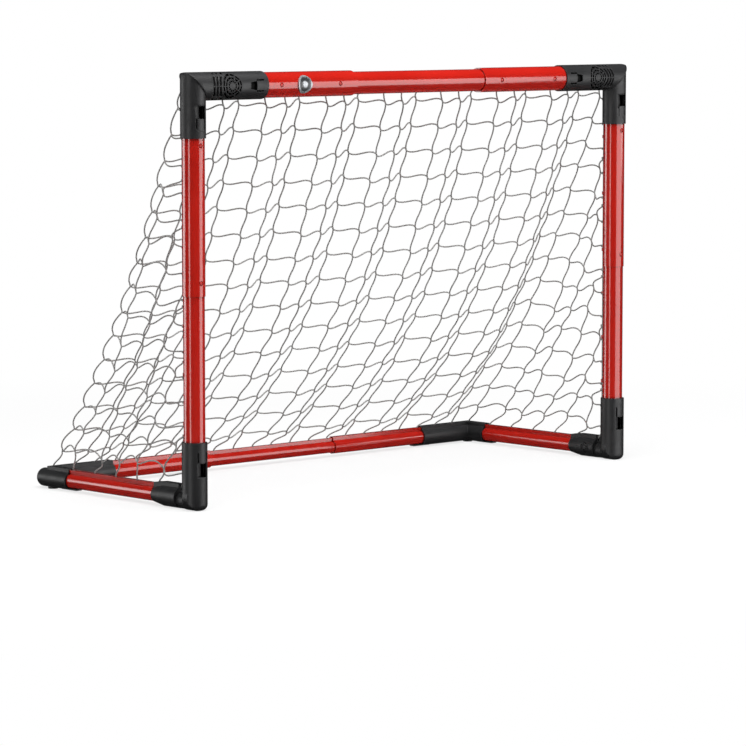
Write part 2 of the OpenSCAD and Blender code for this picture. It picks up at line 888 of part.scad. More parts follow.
module half_hooks() {
  for (k = [0 : 2]) {
    translate([0, 0, foot_rim_z + hook_post_low[0] + k * hook_post_low[1]]) net_hook(post_low_r);
    translate([0, 0, post_joint_z + hook_post_up[0] + k * hook_post_up[1]]) net_hook(post_r);
    translate([arm_l + hook_bar[0] + k * hook_bar[1], 0, bar_z]) along_x() net_hook(bar_r);
  }
}

module net_hooks() {
  color(red) {
    left() half_hooks();
    right() half_hooks();
    middle() for (s = [-1, 1]) translate([s * hook_middle, 0, bar_z]) along_x() net_hook(bar_spigot_r);
  }
}

// ---------- one line per node ----------

top_left_corner();
top_right_corner();
crossbar_left_tube();
crossbar_centre_tube();
crossbar_right_tube();
left_post_upper_tube();
left_post_lower_tube();
right_post_upper_tube();
right_post_lower_tube();
front_left_foot();
front_right_foot();
left_base_coupler();
right_base_coupler();
left_side_tube();
right_side_tube();
rear_left_corner();
rear_right_corner();
rear_left_tube();
rear_centre_tube();
rear_right_tube();
top_left_post_latch();
top_left_bar_latch();
top_right_post_latch();
top_right_bar_latch();
front_left_foot_latch();
front_right_foot_latch();
rear_left_side_latch();
rear_left_bar_latch();
rear_right_side_latch();
rear_right_bar_latch();
left_post_top_button();
left_post_middle_button();
right_post_top_button();
right_post_middle_button();
crossbar_left_outer_button();
crossbar_left_inner_button();
crossbar_right_outer_button();
crossbar_right_inner_button();
snap_button_clips();
crossbar_badge();
net_hooks();
net_back();
net_left_side();
net_right_side();
net_border_cord();
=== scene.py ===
import math

import bpy
import numpy as np
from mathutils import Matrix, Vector


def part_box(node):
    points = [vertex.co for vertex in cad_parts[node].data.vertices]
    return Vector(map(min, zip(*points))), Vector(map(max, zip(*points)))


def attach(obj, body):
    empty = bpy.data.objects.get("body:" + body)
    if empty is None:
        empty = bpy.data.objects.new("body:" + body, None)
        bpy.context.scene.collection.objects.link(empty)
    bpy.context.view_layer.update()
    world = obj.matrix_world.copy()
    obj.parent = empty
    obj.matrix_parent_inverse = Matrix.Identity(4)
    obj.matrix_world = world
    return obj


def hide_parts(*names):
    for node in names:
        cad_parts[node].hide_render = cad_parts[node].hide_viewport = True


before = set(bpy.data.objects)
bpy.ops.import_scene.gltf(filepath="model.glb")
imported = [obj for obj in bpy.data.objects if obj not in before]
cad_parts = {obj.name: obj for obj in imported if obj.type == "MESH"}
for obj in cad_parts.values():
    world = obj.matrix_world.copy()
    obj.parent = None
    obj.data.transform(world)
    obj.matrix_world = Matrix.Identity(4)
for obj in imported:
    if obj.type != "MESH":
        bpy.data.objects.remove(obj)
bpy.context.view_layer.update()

# ---------- places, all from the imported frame, in metres ----------

CORD_R = 0.001
# Radius of the round bends in the CAD cord, which set its box
BEND_R = 0.00108
cord_lo, cord_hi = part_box("net_border_cord")
HALF_W = cord_hi.x - BEND_R
FRONT_Y = cord_lo.y + BEND_R
REAR_Y = cord_hi.y - BEND_R
LOW_Z = cord_lo.z + BEND_R
TOP_Z = cord_hi.z - BEND_R
DEPTH = REAR_Y - FRONT_Y
DROP = TOP_Z - LOW_Z

post_lo, post_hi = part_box("left_post_upper_tube")
POST_Y = (post_lo.y + post_hi.y) / 2
bar_lo, bar_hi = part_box("crossbar_left_tube")
BAR_Z = (bar_lo.z + bar_hi.z) / 2

# Rims of the connectors, measured from the post axes, the bar axis and the foot's underside
ARM_END_X = HALF_W - 0.0992
SLEEVE_END_Z = BAR_Z - 0.0575
FOOT_LOW_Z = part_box("front_left_foot")[0].z
FOOT_END_Z = FOOT_LOW_Z + 0.0769
# Inside of an arm's shell, from the bar axis
ARM_SHELL_R = 0.0150

badge_lo, badge_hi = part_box("crossbar_badge")
BADGE_MID = (badge_lo + badge_hi) / 2
BADGE_R = (badge_hi.x - badge_lo.x) / 2


# ---------- small helpers for materials ----------

class Nodes:
    """A material's node tree with a short way to add and join nodes."""

    def __init__(self, name):
        self.material = bpy.data.materials.new(name)
        self.material.use_nodes = True
        self.tree = self.material.node_tree
        self.shader = self.tree.nodes["Principled BSDF"]
        self.place = self.add("ShaderNodeTexCoord").outputs["Object"]

    def add(self, kind, **settings):
        """A new node of the given kind, with its settings."""
        node = self.tree.nodes.new(kind)
        for key, value in settings.items():
            setattr(node, key, value)
        return node

    def join(self, source, target):
        """Link an output socket to an input socket."""
        self.tree.links.new(source, target)

    def stretched(self, scale):
        """The object's own coordinates, scaled by a vector."""
        mapping = self.add("ShaderNodeMapping")
        mapping.inputs["Scale"].default_value = scale
        self.join(self.place, mapping.inputs["Vector"])
        return mapping.outputs["Vector"]

    def noise(self, scale, detail=3.0, rough=0.55, vector=None):
        """Cloudy noise round 0.5, in the object's own coordinates or the given ones."""
        node = self.add("ShaderNodeTexNoise")
        node.inputs["Scale"].default_value = scale
        node.inputs["Detail"].default_value = detail
        node.inputs["Roughness"].default_value = rough
        self.join(vector or self.place, node.inputs["Vector"])
        return node.outputs["Fac"]

    def ramp(self, source, low, high, out_low=0.0, out_high=1.0):
        """The source brought from the range low to high into another one, and held inside it."""
        node = self.add("ShaderNodeMapRange")
        node.inputs["From Min"].default_value = low
        node.inputs["From Max"].default_value = high
        node.inputs["To Min"].default_value = out_low
        node.inputs["To Max"].default_value = out_high
        self.join(source, node.inputs["Value"])
        return node.outputs["Result"]

    def mix(self, factor, a, b):
        """Colour a where factor is 0 and b where it is 1; a and b are colours or sockets."""
        node = self.add("ShaderNodeMix", data_type="RGBA")
        self.join(factor, node.inputs["Factor"])
        for value, slot in ((a, node.inputs["A"]), (b, node.inputs["B"])):
            if isinstance(value, tuple):
                slot.default_value = value + (1.0,)
            else:
                self.join(value, slot)
        return node.outputs["Result"]

    def bump(self, height, strength, distance, normal=None):
        """The normal over small ups and downs of the given height, on top of another normal."""
        node = self.add("ShaderNodeBump")
        node.inputs["Strength"].default_value = strength
        node.inputs["Distance"].default_value = distance
        self.join(height, node.inputs["Height"])
        if normal is not None:
            self.join(normal, node.inputs["Normal"])
        return node.outputs["Normal"]

    def soft_edges(self, radius):
        """The normal with edges rounded off; radius is a number or a socket."""
        node = self.add("ShaderNodeBevel", samples=4)
        if isinstance(radius, bpy.types.NodeSocket):
            self.join(radius, node.inputs["Radius"])
        else:
            node.inputs["Radius"].default_value = radius
        return node.outputs["Normal"]

    def edge_mask(self, radius):
        """1 on sharp edges and 0 on open faces, from how far the softened normal turns away."""
        soft = self.soft_edges(radius)
        true = self.add("ShaderNodeNewGeometry").outputs["Normal"]
        dot = self.add("ShaderNodeVectorMath", operation="DOT_PRODUCT")
        self.join(soft, dot.inputs[0])
        self.join(true, dot.inputs[1])
        return self.ramp(dot.outputs["Value"], 0.97, 0.80)

    def open_mask(self, reach, shut, clear):
        """0 where the surface is shut in on all sides within reach, as in a slit, and 1 outside."""
        node = self.add("ShaderNodeAmbientOcclusion", samples=6)
        node.inputs["Distance"].default_value = reach
        return self.ramp(node.outputs["AO"], shut, clear)

    def maths(self, operation, a, b=0.0):
        """One step of arithmetic on one or two numbers or sockets."""
        node = self.add("ShaderNodeMath", operation=operation)
        for value, slot in ((a, node.inputs[0]), (b, node.inputs[1])):
            if isinstance(value, bpy.types.NodeSocket):
                self.join(value, slot)
            else:
                slot.default_value = value
        return node.outputs["Value"]

    def world_place(self):
        """X, Y and Z of the shaded point in the shared frame."""
        split = self.add("ShaderNodeSeparateXYZ")
        self.join(self.add("ShaderNodeNewGeometry").outputs["Position"], split.inputs["Vector"])
        return split.outputs["X"], split.outputs["Y"], split.outputs["Z"]

    def length(self, a, b):
        """Length of the arrow with the two given sides."""
        squares = self.maths("MULTIPLY", a, a), self.maths("MULTIPLY", b, b)
        return self.maths("SQRT", self.maths("ADD", *squares))

    def set(self, name, value):
        """Give one of the shader's inputs a number, a colour or a socket."""
        socket = self.shader.inputs[name]
        if isinstance(value, bpy.types.NodeSocket):
            self.join(value, socket)
        elif isinstance(value, tuple):
            socket.default_value = value + (1.0,)
        else:
            socket.default_value = value


# ---------- materials ----------

# Darker and lighter tone of each finish, the colour of its worn or dirty parts, and the caps'
# painted edge shade
PAINT = (0.52, 0.011, 0.005), (0.58, 0.014, 0.007)
PAINT_WORN = (0.72, 0.075, 0.05)
CAP = (0.48, 0.010, 0.005), (0.56, 0.014, 0.007)
CAP_EDGE_SHADE = (0.05, 0.005, 0.004)
CHARCOAL = (0.0135, 0.0135, 0.0145), (0.0185, 0.0185, 0.0195)
CHARCOAL_WORN = (0.045, 0.046, 0.048)
STEEL_TONES = (0.42, 0.42, 0.43), (0.62, 0.62, 0.63)
SILVER = (0.34, 0.35, 0.37), (0.56, 0.58, 0.60)
SILVER_AGED = (0.22, 0.23, 0.24)
RECESS = (0.035, 0.036, 0.040)
TWINE = (0.27, 0.262, 0.255), (0.42, 0.41, 0.40)
TWINE_AGED = (0.28, 0.265, 0.25)
FLOOR_TONES = (0.90, 0.90, 0.90), (0.93, 0.93, 0.93)
FLOOR_BOUNCE = (0.65, 0.65, 0.65)

# Painted shade in slits of the tubes and of the connectors, and on the tubes' ends inside them
RED_SLIT_SHADE = (0.006, 0.002, 0.002)
BLACK_SLIT_SHADE = (0.002, 0.002, 0.002)
TUBE_END_SHADE = (0.004, 0.004, 0.004)

# Plies seen side by side on the string, and how often the twist repeats per metre
PLIES = 2.0
TWIST_PER_M = 240.0


def hidden_end(m, kind):
    """1 where a tube is inside a corner's sleeve or arm, or in the foot, and 0 in the open."""
    x, _, z = m.world_place()
    reach = 0.0006
    if kind == "bar":
        return m.ramp(m.maths("ABSOLUTE", x), ARM_END_X, ARM_END_X + reach)
    top = m.ramp(z, SLEEVE_END_Z, SLEEVE_END_Z + reach)
    return m.maths("MAXIMUM", top, m.ramp(z, FOOT_END_Z, FOOT_END_Z - reach))


def tube_material(name, stretch, kind=None):
    """Glossy red tube: faint drawing lines along it, slow colour drift and lighter worn edges.
    Painted shade darkens its slits and creases, and on a tube of kind bar or post also its ends
    inside the connectors."""
    m = Nodes(name)
    drift = m.noise(14.0, 2.0)
    lines = m.noise(420.0, 2.0, vector=m.stretched(stretch))
    specks = m.noise(900.0, 4.0, 0.7)
    base = m.mix(m.ramp(drift, 0.35, 0.65), *PAINT)
    worn = m.mix(m.edge_mask(0.0006), base, PAINT_WORN)
    # Painted shade: slits and tight creases go nearly black, and the tube darkens a little next to
    # the connectors' rims
    colour = m.mix(m.open_mask(0.006, 0.45, 0.80), RED_SLIT_SHADE, worn)
    if kind:
        # Painted shade: the tube's ends hidden inside the connectors, seen through their slits, go
        # nearly black
        colour = m.mix(hidden_end(m, kind), colour, TUBE_END_SHADE)
    m.set("Base Color", colour)
    m.set("Roughness", m.ramp(m.noise(60.0, 3.0), 0.3, 0.7, 0.12, 0.18))
    m.set("Coat Weight", 0.5)
    m.set("Coat Roughness", 0.08)
    normal = m.bump(lines, 0.012, 0.0002, m.soft_edges(0.0004))
    m.set("Normal", m.bump(specks, 0.012, 0.0001, normal))
    return m.material


def cap_material():
    """Red cap of a snap button or a hook, with painted shade round its edge."""
    m = Nodes("red_cap")
    base = m.mix(m.noise(300.0, 3.0), *CAP)
    # Painted shade round the cap's edge, where it meets its hole
    m.set("Base Color", m.mix(m.edge_mask(0.0009), base, CAP_EDGE_SHADE))
    m.set("Roughness", m.ramp(m.noise(900.0, 3.0), 0.3, 0.7, 0.22, 0.34))
    m.set("Normal", m.soft_edges(0.0004))
    return m.material


def shut_in_arm(m):
    """1 on all that lies inside an arm's shell, seen through its window, and 0 elsewhere."""
    x, y, z = m.world_place()
    off = m.length(m.maths("SUBTRACT", y, POST_Y), m.maths("SUBTRACT", z, BAR_Z))
    in_arm = m.ramp(m.maths("ABSOLUTE", x), HALF_W - 0.016, HALF_W - 0.020)
    in_shell = m.ramp(off, ARM_SHELL_R + 0.0002, ARM_SHELL_R - 0.0002)
    return m.maths("MULTIPLY", in_arm, in_shell)


def corner_blend(m):
    """Edge radius of a connector: wide where a top corner's sleeve and arm meet."""
    x, _, z = m.world_place()
    near_x = m.ramp(m.maths("ABSOLUTE", x), HALF_W - 0.034, HALF_W - 0.026)
    near_z = m.ramp(z, BAR_Z - 0.030, BAR_Z - 0.022)
    return m.ramp(m.maths("MULTIPLY", near_x, near_z), 0.0, 1.0, 0.0006, 0.0035)


def connector_material():
    """Satin charcoal moulding with a fine spark-eroded grain and slightly rubbed edges; painted
    shade turns its slits, and what shows through its arms' windows, black."""
    m = Nodes("connector_plastic")
    cloud = m.noise(22.0, 3.0)
    grain = m.noise(2600.0, 2.0, 0.6)
    base = m.mix(m.ramp(cloud, 0.3, 0.7), *CHARCOAL)
    rubbed = m.mix(m.edge_mask(0.0006), base, CHARCOAL_WORN)
    # Painted shade: slits, and what lies inside the arms as seen through their windows, turn black
    # and lose most of their gloss
    clear = m.maths("SUBTRACT", m.open_mask(0.004, 0.25, 0.55), shut_in_arm(m))
    m.set("Base Color", m.mix(clear, BLACK_SLIT_SHADE, rubbed))
    m.set("Roughness", m.ramp(m.noise(75.0, 4.0), 0.3, 0.7, 0.40, 0.52))
    m.set("Specular IOR Level", m.ramp(clear, 0.0, 1.0, 0.05, 0.43))
    m.set("Normal", m.bump(grain, 0.16, 0.0002, m.soft_edges(corner_blend(m))))
    return m.material


def steel_material():
    """Brushed spring steel."""
    m = Nodes("spring_steel")
    brushed = m.noise(900.0, 3.0, vector=m.stretched(ALONG_CLIP))
    m.set("Base Color", m.mix(brushed, *STEEL_TONES))
    m.set("Metallic", 1.0)
    m.set("Roughness", m.ramp(brushed, 0.2, 0.8, 0.25, 0.42))
    m.set("Normal", m.bump(brushed, 0.2, 0.0002))
    return m.material


def badge_material():
    """Plain silver-grey badge with a dark ring pressed between its rim and its boss."""
    m = Nodes("badge")
    fleck = m.noise(3200.0, 2.0, 0.6)
    grime = m.noise(160.0, 3.0)
    x, _, z = m.world_place()
    off = m.length(m.maths("SUBTRACT", x, BADGE_MID.x), m.maths("SUBTRACT", z, BADGE_MID.z))
    out = m.maths("DIVIDE", off, BADGE_R)
    ring = m.maths("MULTIPLY", m.ramp(out, 0.36, 0.42), m.ramp(out, 0.80, 0.74))
    aged = m.mix(m.ramp(grime, 0.45, 0.8), m.mix(fleck, *SILVER), SILVER_AGED)
    m.set("Base Color", m.mix(ring, aged, RECESS))
    m.set("Metallic", m.ramp(ring, 0.0, 1.0, 0.65, 0.1))
    m.set("Roughness", m.ramp(grime, 0.3, 0.7, 0.28, 0.42))
    m.set("Normal", m.bump(fleck, 0.1, 0.0001, m.soft_edges(0.0003)))
    return m.material


def string_material():
    """Twisted grey string: plies that wind round it, from its own length and girth coordinates."""
    m = Nodes("net_string")
    uv = m.add("ShaderNodeUVMap", uv_map="string")
    split = m.add("ShaderNodeSeparateXYZ")
    m.join(uv.outputs["UV"], split.inputs["Vector"])
    wind = m.maths("ADD", m.maths("MULTIPLY", split.outputs["X"], PLIES), split.outputs["Y"])
    ply = m.ramp(m.maths("COSINE", m.maths("MULTIPLY", wind, math.tau)), -1.0, 1.0)
    fuzz = m.noise(5200.0, 3.0, 0.7)
    age = m.noise(18.0, 3.0)
    m.set("Base Color", m.mix(m.ramp(age, 0.4, 0.75), m.mix(ply, *TWINE), TWINE_AGED))
    m.set("Roughness", m.ramp(fuzz, 0.3, 0.7, 0.55, 0.8))
    m.set("Sheen Weight", 0.25)
    m.set("Sheen Roughness", 0.5)
    m.set("Normal", m.bump(fuzz, 0.25, 0.0001, m.bump(ply, 0.6, 0.0003)))
    return m.material


def floor_material():
    """Plain pale floor, faintly cloudy, that fades to the white behind as it gets further away."""
    m = Nodes("pale_floor")
    path = m.add("ShaderNodeLightPath")
    pale = m.mix(m.noise(1.2, 2.0), *FLOOR_TONES)
    m.set("Base Color", m.mix(path.outputs["Is Diffuse Ray"], pale, FLOOR_BOUNCE))
    m.set("Roughness", 0.9)
    m.set("Specular IOR Level", 0.2)
    away = m.add("ShaderNodeVectorMath", operation="LENGTH")
    m.join(m.place, away.inputs[0])
    fade = m.add("ShaderNodeMapRange", interpolation_type="SMOOTHSTEP")
    m.join(away.outputs["Value"], fade.inputs["Value"])
    fade.inputs["From Min"].default_value = 0.35
    fade.inputs["From Max"].default_value = 1.3
    fade.inputs["To Min"].default_value = 0.75
    glow = m.add("ShaderNodeEmission")
    glow.inputs["Color"].default_value = WHITE
    mix = m.add("ShaderNodeMixShader")
    seen = m.maths("MULTIPLY", fade.outputs["Result"], path.outputs["Is Camera Ray"])
    m.join(seen, mix.inputs["Fac"])
    m.join(m.shader.outputs["BSDF"], mix.inputs[1])
    m.join(glow.outputs["Emission"], mix.inputs[2])
    m.join(mix.outputs["Shader"], m.tree.nodes["Material Output"].inputs["Surface"])
    return m.material


# Coordinate scales that draw the grain out along one axis
ALONG_X = (0.04, 1.0, 1.0)
ALONG_Y = (1.0, 0.04, 1.0)
ALONG_Z = (1.0, 1.0, 0.04)
ALONG_CLIP = (1.0, 1.0, 0.05)

RED_X = tube_material("tube_paint_x", ALONG_X)
RED_BAR = tube_material("tube_paint_bar", ALONG_X, "bar")
RED_Y = tube_material("tube_paint_y", ALONG_Y)
RED_Z = tube_material("tube_paint_z", ALONG_Z, "post")
RED_CAP = cap_material()
BLACK = connector_material()
STEEL = steel_material()
BADGE = badge_material()
STRING = string_material()


def finish_of(node):
    """The material of a carried-over CAD node, by its name."""
    if "tube" in node:
        if "post" in node:
            return RED_Z
        if "crossbar" in node:
            return RED_BAR
        return RED_Y if "side" in node else RED_X
    if "button_clips" in node:
        return STEEL
    if "button" in node or "hooks" in node:
        return RED_CAP
    if node == "crossbar_badge":
        return BADGE
    return BLACK


for name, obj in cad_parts.items():
    obj.data.materials.clear()
    obj.data.materials.append(finish_of(name))


# ---------- string built as a round tube mesh ----------

STRING_R = 0.0009
SIDES = 8
# A slanted direction that no string starts along
ASKEW = (0.31, 0.52, 0.79)


def smooth_frames(points):
    """Tangent and two cross directions at each point, carried along without twisting."""
    tangents = np.gradient(points, axis=0)
    tangents /= np.linalg.norm(tangents, axis=1)[:, None]
    first = np.cross(tangents[0], ASKEW)
    across = [first / np.linalg.norm(first)]
    for t in tangents[1:]:
        v = across[-1] - t * (across[-1] @ t)
        across.append(v / np.linalg.norm(v))
    across = np.array(across)
    return tangents, across, np.cross(tangents, across)


def tube(points, radius):
    """Vertices, quads and string coordinates of a closed round tube along the points."""
    points = np.asarray(points, float)
    tangents, a, b = smooth_frames(points)
    angle = np.arange(SIDES) * math.tau / SIDES
    ring = np.cos(angle)[None, :, None] * a[:, None] + np.sin(angle)[None, :, None] * b[:, None]
    verts = (points[:, None] + radius * ring).reshape(-1, 3)
    run = np.concatenate([[0.0], np.cumsum(np.linalg.norm(np.diff(points, axis=0), axis=1))])
    quads, coords = [], []
    for i in range(len(points) - 1):
        for j in range(SIDES):
            n = (j + 1) % SIDES
            quads.append((i * SIDES + j, i * SIDES + n, (i + 1) * SIDES + n, (i + 1) * SIDES + j))
            v0, v1 = run[i] * TWIST_PER_M, run[i + 1] * TWIST_PER_M
            u0, u1 = j / SIDES, (j + 1) / SIDES
            coords.append(((u0, v0), (u1, v0), (u1, v1), (u0, v1)))
    last = (len(points) - 1) * SIDES
    quads.append(tuple(reversed(range(SIDES))))
    quads.append(tuple(range(last, last + SIDES)))
    coords.append(((0.0, 0.0),) * SIDES)
    coords.append(((0.0, run[-1] * TWIST_PER_M),) * SIDES)
    return verts, quads, coords


def string_piece(name, strings, radius=STRING_R):
    """One mesh object from many strings, each a list of points."""
    verts, faces, coords = [], [], []
    start = 0
    for points in strings:
        v, f, c = tube(points, radius)
        verts.append(v)
        faces += [tuple(start + i for i in face) for face in f]
        coords += c
        start += len(v)
    mesh = bpy.data.meshes.new(name)
    mesh.from_pydata(np.concatenate(verts).tolist(), [], faces)
    layer = mesh.uv_layers.new(name="string")
    flat = [xy for face in coords for corner in face for xy in corner]
    layer.data.foreach_set("uv", flat)
    mesh.polygons.foreach_set("use_smooth", [True] * len(mesh.polygons))
    mesh.materials.append(STRING)
    mesh.update()
    piece = bpy.data.objects.new(name, mesh)
    bpy.context.scene.collection.objects.link(piece)
    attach(piece, "root")
    return piece


# ---------- the net's surface ----------

CELLS = 22
ROWS = 15
# Drop from the crossbar cord to the first row, from row to row, and how the drop grows
ROW_FIRST = 0.0232
ROW_STEP = 0.0306
ROW_CURL = 7.4e-6
# Where the three strings of one pleat stand, as shares of the pleat, and how deep it is
PLEAT_PLACES = (0.0, 0.330, 0.657)
PLEAT_DEPTHS = (1.0, -1.0, -0.9)
PLEAT_LIFTS = (0.0020, -0.0018, -0.0012)
PLEAT = 0.0070
FOLD_LIFT = 0.0072
BACK_JITTER = 0.0006

rng = np.random.default_rng(7)


def row_z(r):
    """Height of a row in the middle of the back."""
    return TOP_Z - ROW_FIRST - ROW_STEP * r + ROW_CURL * r ** 3


def fall(z):
    """Share of the way down from the crossbar cord to the base cord."""
    return min(max((TOP_Z - z) / DROP, 0.0), 1.0)


def middle_y(z):
    """Depth of the back in its middle, which bellies forward."""
    s = fall(z)
    return FRONT_Y + DEPTH * (0.51 * s + 0.49 * s ** 3.5)


def fold_y(z):
    """The fold between the back and a side hangs less than the middle does."""
    s = fall(z)
    return FRONT_Y + DEPTH * (0.72 * s + 0.28 * s ** 3)


def back_y(x, z):
    """Depth of the back, which runs flat and turns to the folds near its two sides."""
    w = min(abs(x) / HALF_W, 1.0) ** 7
    return (1 - w) * middle_y(z) + w * fold_y(z)


def column_x(k):
    """Across the goal, with the three unequal steps of each pleat, from post to post."""
    raw = k // 3 + PLEAT_PLACES[k % 3]
    whole = CELLS // 3 + PLEAT_PLACES[CELLS % 3]
    return HALF_W * (2 * raw / whole - 1)


def fold_lift(r):
    """How much higher a row stands at the folds than in the middle."""
    return FOLD_LIFT * math.sin(math.pi * ((r + 1) / (ROWS + 1)) ** 1.5)


def back_node(k, r):
    """The knot of column k and row r."""
    x, z = column_x(k), row_z(r)
    z += fold_lift(r) * min(abs(x) / HALF_W, 1.0) ** 4
    inner = 0.0 if k in (0, CELLS) else 1.0
    y = back_y(x, z) + inner * PLEAT * PLEAT_DEPTHS[k % 3]
    knot = np.array([x, y, z + inner * PLEAT_LIFTS[k % 3]])
    return knot + rng.normal(0.0, BACK_JITTER, 3)


# ---------- strings between nodes ----------

ACROSS = np.array([1.0, 0.0, 0.0])
FORWARD = np.array([0.0, -1.0, 0.0])
# Length over which the two strings of a knot lie together
MERGE = 0.0036
PER_CELL = 9
# Reach of a string's handles, as a share of the way between its knots
HANDLE = 0.36
# How far a string turns into its knots' merges as it leaves one and arrives at the next
BACK_ROW_BEND = 0.60, 1.00
BACK_COLUMN_BEND = 0.62, 0.78
FOLD_BEND = 0.0, 0.05
SIDE_ROW_BEND = 0.75, 0.35
SIDE_UPRIGHT_BEND = 0.45, 0.60
# A string end wound round a cord: distance from the cord's axis, turns, run along it and steps
WRAP_R = CORD_R + STRING_R
WRAP_TURNS = 1.2
WRAP_RUN = 0.0016
WRAP_STEPS = 14


def unit(v):
    """The arrow v at length 1."""
    return v / np.linalg.norm(v)


def bezier(p0, t0, t1, p1, n=PER_CELL):
    """Points along a cubic curve from p0, leaving along t0, to p1, arriving along t1."""
    u = np.linspace(0.0, 1.0, n)[:, None]
    v = 1 - u
    return v ** 3 * p0 + 3 * v ** 2 * u * (p0 + t0) + 3 * v * u * u * (p1 - t1) + u ** 3 * p1


def merge_at(across, down):
    """The short run where the two strings of a knot lie together, down to the right."""
    return 0.55 * MERGE * across + 0.84 * MERGE * down


def chain(nodes, lean, leave, arrive, sag=0.0, spread=0.0):
    """One string through its knots. lean[i] is the merge at knot i; leave and arrive are
    the mixes of lean and travel that shape the S between knots; sag drops the mid-span."""
    points = []
    side = np.array([0.0, spread, 0.0])
    for i, (p, q) in enumerate(zip(nodes[:-1], nodes[1:])):
        a = p + lean[i] / 2 + side
        b = q - lean[i + 1] / 2 + side
        span = q - p
        size = np.linalg.norm(span)
        hang = np.array([0.0, 0.0, -sag * size])
        t0 = size * HANDLE * unit(unit(span) + leave * unit(lean[i])) + hang
        t1 = size * HANDLE * unit(unit(span) + arrive * unit(lean[i + 1])) - hang
        points.extend(bezier(a, t0, t1, b))
    return points


def wrapped(axis_point, axis, towards):
    """A string end wound round a cord: leaves towards the given side and ends behind the cord."""
    axis = unit(np.asarray(axis, float))
    out = np.asarray(towards, float) - axis_point
    out = unit(out - axis * (out @ axis))
    other = np.cross(axis, out)
    points = []
    for i in range(WRAP_STEPS + 1):
        a = math.tau * WRAP_TURNS * i / WRAP_STEPS
        along = axis * (WRAP_RUN * i / WRAP_STEPS)
        points.append(axis_point + WRAP_R * (math.cos(a) * out + math.sin(a) * other) + along)
    return points


# ---------- the back panel ----------

grid = [[back_node(k, r) for r in range(ROWS)] for k in range(CELLS + 1)]


def back_merge(k, r):
    """The merge at a knot of the back, along the way its column falls."""
    above, below = grid[k][max(r - 1, 0)], grid[k][min(r + 1, ROWS - 1)]
    return merge_at(ACROSS, unit(below - above))


def back_row(r):
    """A string from fold to fold."""
    nodes = [grid[k][r] for k in range(CELLS + 1)]
    lean = [back_merge(k, r) for k in range(CELLS + 1)]
    return chain(nodes, lean, *BACK_ROW_BEND, spread=-0.25 * STRING_R)


def back_column(k):
    """A string from the crossbar's cord down to the rear one."""
    nodes = grid[k]
    lean = [back_merge(k, r) for r in range(ROWS)]
    body = chain(nodes, lean, *BACK_COLUMN_BEND, spread=0.25 * STRING_R)
    top = np.array([column_x(k), FRONT_Y, TOP_Z])
    foot = np.array([column_x(k), REAR_Y, LOW_Z])
    start = nodes[0] - lean[0] / 2
    ring = wrapped(top, ACROSS, start)
    rise = bezier(ring[0], np.array([0.0, 0.004, -0.008]), 0.008 * unit(lean[0]), start)
    end = nodes[-1] + lean[-1] / 2
    land = bezier(end, 0.010 * unit(lean[-1]), np.array([0.0, 0.002, -0.010]), foot)
    return ring[::-1] + list(rise)[1:-1] + body + list(land)[1:]


back_strings = [back_row(r) for r in range(ROWS)] + [back_column(k) for k in range(1, CELLS)]
back = string_piece("net_back_strings", back_strings)
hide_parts("net_back")


# ---------- the side panels ----------

SIDE_BULGE = 0.010
SIDE_PLEAT = 0.0045
SIDE_LIFT = 0.0035
SIDE_JITTER = 0.0012
# Least distance behind the post's cord of a knot, and of the foot of an upright string
KNOT_GAP = 0.009
FOOT_GAP = 0.006
# Drop of a row from its level at the knots to its hold on the post's cord
HOLD_DROP = 0.004


def side_step(z):
    """Distance between the side's upright strings, which spread towards the base."""
    return 0.022 + 0.017 * fall(z)


def slackened(body, spans, slack, more, way):
    """The string with each span bowed out by slack, and by more towards the base."""
    per = len(body) // spans
    wave = np.array([math.sin(math.pi * (i % per) / (per - 1)) for i in range(len(body))])
    wave = np.clip(wave, 0.0, 1.0) ** 0.7
    return [p + (slack + more * fall(p[2])) * w * way for p, w in zip(body, wave)]


